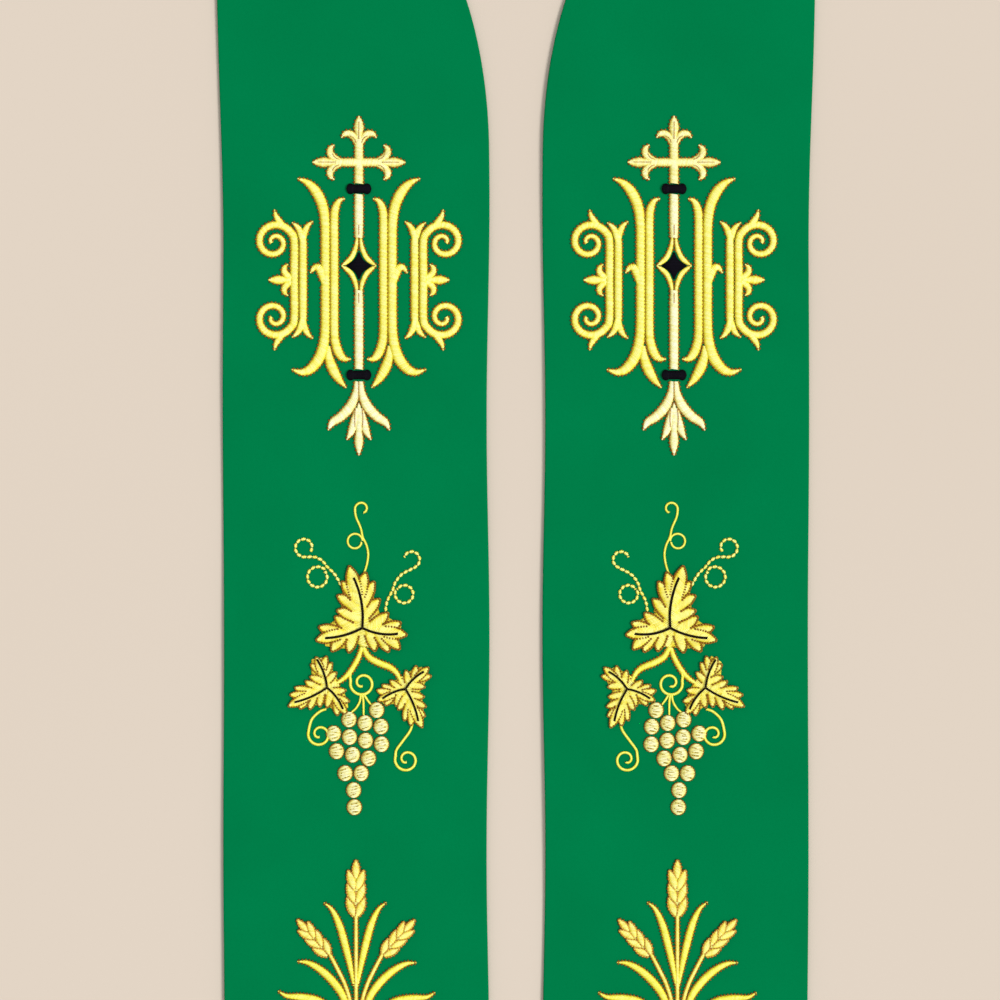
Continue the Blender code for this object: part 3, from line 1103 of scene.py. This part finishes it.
def embroider_vine(side):
    flip = -SIDES[side]
    leaf_thread = Skein("vine_leaves", "leaf_thread", side, VINE_AT, seed=21)
    veins_thread = Skein("vine_veins", "dark_thread", side, VINE_AT, seed=22, stations=SHORT_THREAD)
    fruit = Skein("vine_grapes", "grape_thread", side, VINE_AT, seed=23)
    streaks = Skein("vine_grape_lines", "olive_thread", side, VINE_AT, seed=26, stations=SHORT_THREAD)
    stem_thread = Skein("vine_stems", "lemon_thread", side, VINE_AT, seed=24, stations=FAIR_THREAD)
    beads = Skein("vine_beads", "gold_thread", side, VINE_AT, seed=27, stations=FAIR_THREAD)
    edging = edging_skeins("vine", side, VINE_AT, seed=25)
    for leaf in LEAVES:
        sew_leaf(leaf, flip, leaf_thread, veins_thread, edging)
    fruit_curves = [smooth(mirrored(rows, flip)) for rows in grapes()]
    for curve in fruit_curves:
        fruit.sew(curve, pitch=0.8, slant=0.12, rise=0.30, top=1.25, thread=0.34)
        sew_grape_lines(streaks, curve[len(curve) // 2], flip)
    outline(edging, fruit_curves, margin=0.4, tooth=FINE_TOOTH)
    for rows in STEMS:
        curve = smooth(mirrored(rows, flip))
        stem_thread.sew(curve, slant=0.7, rise=0.45)
        outline(edging, [curve], tooth=MIDDLE_TOOTH)
    for rows in STALKS + tendrils():
        curve = smooth(mirrored(rows, flip))
        curve[:, 2] *= TENDRIL_SHARE
        stem_thread.sew(curve, pitch=0.62, slant=1.1, rise=0.6)
    strings = [smooth(mirrored(rows, flip)) for rows in beaded_tendrils()]
    beads.sew_all(strings, pitch=BEAD_PITCH, slant=0.3, rise=0.7, widths=BEAD_WIDTHS)
    return [leaf_thread, veins_thread, fruit, streaks, stem_thread, beads, *edging]


# ---------------- the wheat sheaf

# A grain as a stroke from its foot to its tip
GRAIN = [(0, -0.4, 1.0), (0, 2.6, 2.1), (0, 5.6, 2.35), (0, 8.6, 1.6), (0, 11.4, 0.1)]
# Columns: place along the ear, place aside, turn outward
GRAIN_PAIRS = [(0.2, 0.8, 22), (7.9, 0.8, 21), (15.4, 0.7, 20)]
EAR_TOP, EAR_TOP_SCALE = 21.6, 0.9
# Columns: foot across and up, turn from upright, scale
EARS = [(0.0, 75.6, 0, 1.0), (-15.4, 53.6, 41.5, 0.85), (15.4, 53.6, -41.5, 0.85)]
MIDDLE_STALK = [(0, 77.0, 0.85), (0, 60.0, 0.95), (0, 30.0, 0.95), (0, 1.0, 0.95)]
SIDE_STALK = [
    (-15.0, 54.4, 0.85), (-10.6, 46.0, 0.95), (-5.9, 36.0, 0.95), (-2.9, 24.0, 0.95), (-1.6, 1.0, 0.95),
]
BLADES = [
    [(-18.2, 83.2, 0.12), (-13.6, 79.2, 1.0), (-9.4, 70.6, 1.8), (-6.0, 58.8, 1.9), (-3.2, 47.0, 1.4),
     (-1.2, 36.0, 0.5)],
    [(-33.2, 50.0, 0.12), (-27.0, 49.2, 1.2), (-19.4, 44.8, 1.9), (-11.8, 37.2, 2.1), (-6.6, 28.6, 1.8),
     (-3.4, 16.0, 1.3), (-1.8, 2.0, 0.8)],
    [(-44.0, 33.4, 0.12), (-39.0, 30.6, 1.1), (-30.4, 29.8, 1.9), (-21.4, 27.6, 2.2), (-12.6, 21.4, 2.0),
     (-6.4, 12.0, 1.5), (-2.4, 1.0, 0.8)],
]
# Where each cut stalk ends below the tie
STALK_ENDS = [(-13.5, -33.5), (-6.8, -37.0), (0.0, -38.5), (6.8, -36.6), (13.5, -33.8)]
UNDER_TIE, HALF_WAY = 0.12, 0.45          # how far across it lies there, as shares of its end's place
CUT_TOP = -1.5
CUT_HALVES = (0.95, 1.0, 0.95)            # half widths under the tie, half way and at the end
TIE = [(-5.6, 0.0, 1.6), (-3.4, 0.0, 2.3), (3.4, 0.0, 2.3), (5.6, 0.0, 1.6)]
TIE_LIFT = 0.7
GRAIN_LINE, GRAIN_LIFT = 0.34, 0.74
GRAIN_LAYER = 0.04            # how much higher each grain lies than the one before
EAR_CORE = [(0, -1.0, 1.2), (0, 8.0, 1.8), (0, 16.0, 1.8), (0, 23.0, 1.2)]
# Turn in degrees of each blade on each band, from the upper to the lower: the left ones, then the right ones
BLADE_TURNS = {"left": ((0.0, 0.0, 0.0), (0.7, -1.1, -1.1)), "right": ((-0.8, 1.1, 1.1), (0.8, -1.1, -1.1))}


def ear(foot_across, foot_up, degrees, scale):
    """An ear of wheat: pairs of grains and one at the top."""
    rows = []
    for along, aside, spread in GRAIN_PAIRS:
        for hand in (-1, 1):
            rows.append(turned(GRAIN, -hand * spread, (hand * aside, along)))
    rows.append(turned(GRAIN, 0, (0, EAR_TOP), EAR_TOP_SCALE))
    return [turned(grain, degrees, (foot_across, foot_up), scale) for grain in rows]


def blades(side):
    left_turns, right_turns = BLADE_TURNS[side]
    left = [turned(rows, degrees) for rows, degrees in zip(BLADES, left_turns)]
    return left + [turned(mirrored(rows), degrees) for rows, degrees in zip(BLADES, right_turns)]


def embroider_sheaf(side):
    grain_thread = Skein("wheat_grains", "straw_thread", side, SHEAF_AT, seed=31)
    blade_thread = Skein("wheat_blades", "lemon_thread", side, SHEAF_AT, seed=32)
    teeth, lines = edging = edging_skeins("wheat", side, SHEAF_AT, seed=33)
    for foot_across, foot_up, degrees, scale in EARS:
        core = smooth(turned(EAR_CORE, degrees, (foot_across, foot_up), scale))
        grain_thread.sew(core, pitch=0.8, rise=0.1, lift=0.02)
        grains = [smooth(rows) for rows in ear(foot_across, foot_up, degrees, scale)]
        for number, curve in enumerate(grains):
            grain_thread.sew(curve, pitch=0.6, slant=0.5, rise=0.36, lift=0.05 + GRAIN_LAYER * number)
            covered = outside_of(grains[number + 1:], margin=0.3)
            open_edge = outside_of(grains[:number] + grains[number + 1:] + [core], margin=0.1)
            for hand in (1, -1):
                divider = edge_line(curve, hand, 0.0, LINE_HALF)
                lines.thin_line(divider, half=GRAIN_LINE, lift=GRAIN_LIFT, keep=covered)
                edge = edge_line(curve, hand, MIDDLE_TOOTH.out, MIDDLE_TOOTH.half)
                teeth.dots(edge, MIDDLE_TOOTH, lift=EDGING_LIFT, keep=open_edge)
    stalks = [smooth(rows) for rows in (MIDDLE_STALK, SIDE_STALK, mirrored(SIDE_STALK))]
    leaves = [smooth(rows) for rows in blades(side)]
    cut_ends = [
        smooth([
            (*place, half)
            for place, half in zip([(u * UNDER_TIE, CUT_TOP), (u * HALF_WAY, v / 2), (u, v)], CUT_HALVES)
        ])
        for u, v in STALK_ENDS
    ]
    grain_thread.sew_all(stalks + cut_ends, slant=0.6, rise=0.5, lift=0.12)
    blade_thread.sew_all(leaves, slant=0.5, rise=0.42)
    outline(edging, stalks + leaves + cut_ends, margin=0.5, tooth=MIDDLE_TOOTH)
    tie = smooth(TIE)
    grain_thread.sew(tie, slant=0.1, rise=0.4, lift=TIE_LIFT)
    outline(edging, [tie], lift=TIE_LIFT, tooth=MIDDLE_TOOTH)
    return [grain_thread, blade_thread, *edging]


# ---------------- table, light and camera

TABLE_HALF = 30.0


def lay_table():
    mesh = net_of_faces("table", 2, 2, TABLE_HALF)
    mesh.materials.append(floor_finish())
    place_in_scene("table", mesh)


VIEW_WIDTH = 0.5639           # of the cloth that the camera takes in
VIEW_MIDDLE = (-0.0090, -0.0320)
LENS, SENSOR = 85.0, 36.0


def add_camera():
    lens = bpy.data.cameras.new("camera")
    lens.lens = LENS
    lens.sensor_width = SENSOR
    camera = place_in_scene("camera", lens)
    camera.location = (*VIEW_MIDDLE, CLOTH + VIEW_WIDTH * LENS / SENSOR)
    bpy.context.scene.camera = camera


SUN_FROM = (1.0, -0.25, 1.25)
SUN_STRENGTH = 2.3
SUN_SOFTNESS = 22             # degrees
SUN_COLOUR = (1.0, 0.99, 0.97)
SKY_STRENGTH = 0.68
SKY_COLOUR = (1.0, 0.995, 0.985, 1)


def set_light():
    """Soft even studio light: a pale surround, and a broad lamp from the right."""
    world = bpy.data.worlds.new("studio")
    world.use_nodes = True
    sky = world.node_tree.nodes["Background"]
    sky.inputs["Color"].default_value = SKY_COLOUR
    sky.inputs["Strength"].default_value = SKY_STRENGTH
    bpy.context.scene.world = world
    bpy.context.scene.view_settings.view_transform = "Standard"
    lamp = bpy.data.lights.new("broad_lamp", "SUN")
    lamp.energy = SUN_STRENGTH
    lamp.angle = math.radians(SUN_SOFTNESS)
    lamp.color = SUN_COLOUR
    holder = place_in_scene("broad_lamp", lamp)
    holder.location = SUN_FROM
    holder.rotation_euler = Vector(SUN_FROM).to_track_quat("Z", "Y").to_euler()


# ---------------- making it

def main():
    add_camera()
    set_light()
    lay_table()
    finishes = {
        name: thread_finish(name, colours, *(DULL if name in DULL_THREADS else SHINY))
        for name, colours in THREADS.items()
    }
    cloth = cloth_finish()
    for side in SIDES:
        skeins = embroider_emblem(side) + embroider_vine(side) + embroider_sheaf(side)
        stitched = np.vstack([skein.under() for skein in skeins])
        band = make_band(side, stitched, cloth)
        sewn_on = [skein.piece(finishes[skein.thread]) for skein in skeins]


main()
